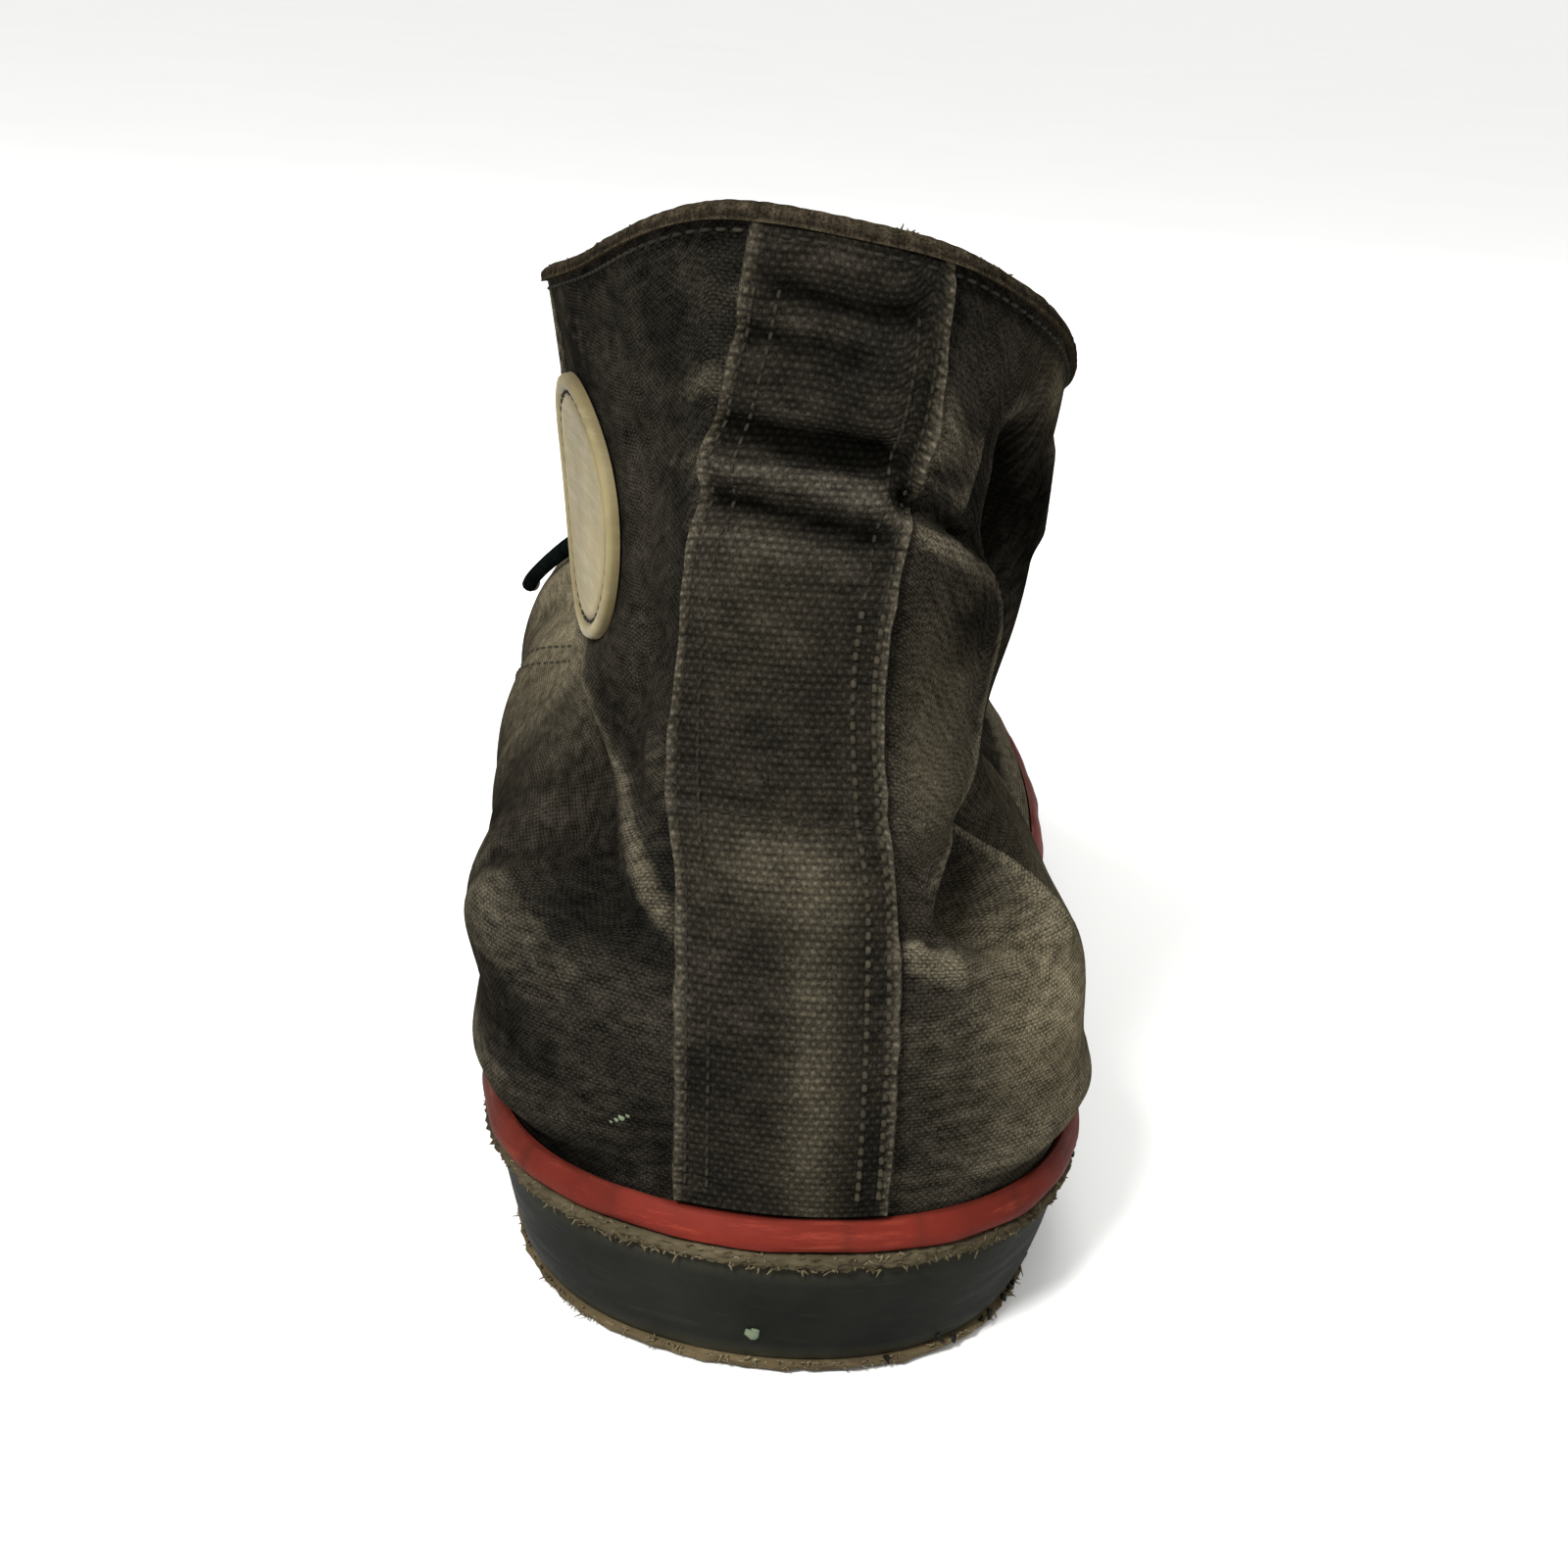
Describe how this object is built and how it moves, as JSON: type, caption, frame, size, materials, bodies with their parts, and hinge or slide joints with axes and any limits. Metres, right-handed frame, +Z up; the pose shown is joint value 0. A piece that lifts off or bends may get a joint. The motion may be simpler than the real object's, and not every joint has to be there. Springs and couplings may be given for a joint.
{
  "type": "basketball shoe",
  "caption": "Worn canvas high-top basketball shoe for the right foot, with a webbing heel strip, a red stripe round the rubber sole and an open slack collar",
  "frame": {"origin": "middle of the shoe's box, on the floor", "axes": "+Y runs from heel to toe, +X to the lateral (outer) side of the right foot, +Z up"},
  "size_m": [0.1048, 0.3054, 0.1488],
  "materials": {
    "canvas": "worn, faded",
    "webbing": "coarse, worn",
    "lining": "plain",
    "black_rubber": "satin, scuffed",
    "red_rubber": "satin, scuffed",
    "cloth_tape": "frayed",
    "sole_rubber": "matt",
    "patch": "matt",
    "enamel": "worn enamel",
    "lace": "braided",
    "aglet": "dull"
  },
  "bodies": {
    "root": {"outsole": "sole_rubber", "foxing": "black_rubber", "cloth_tape": "cloth_tape", "red_stripe": "red_rubber", "insole": "lining", "upper": "canvas", "heel_strip": "webbing", "collar_binding": "lining", "ankle_patch": "patch", "tongue": "lining", "lace_bar": "lace", "lace_cross_1": "lace", "lace_cross_2": "lace", "lace_cross_3": "lace", "lace_end": "lace", "aglet": "aglet", "eyelet_lateral_1": "enamel", "eyelet_lateral_2": "enamel", "eyelet_lateral_3": "enamel", "eyelet_lateral_4": "enamel", "eyelet_lateral_5": "enamel", "eyelet_lateral_6": "enamel", "eyelet_lateral_7": "enamel", "eyelet_medial_1": "enamel", "eyelet_medial_2": "enamel", "eyelet_medial_3": "enamel", "eyelet_medial_4": "enamel", "eyelet_medial_5": "enamel", "eyelet_medial_6": "enamel", "eyelet_medial_7": "enamel"}
  },
  "joints": []
}
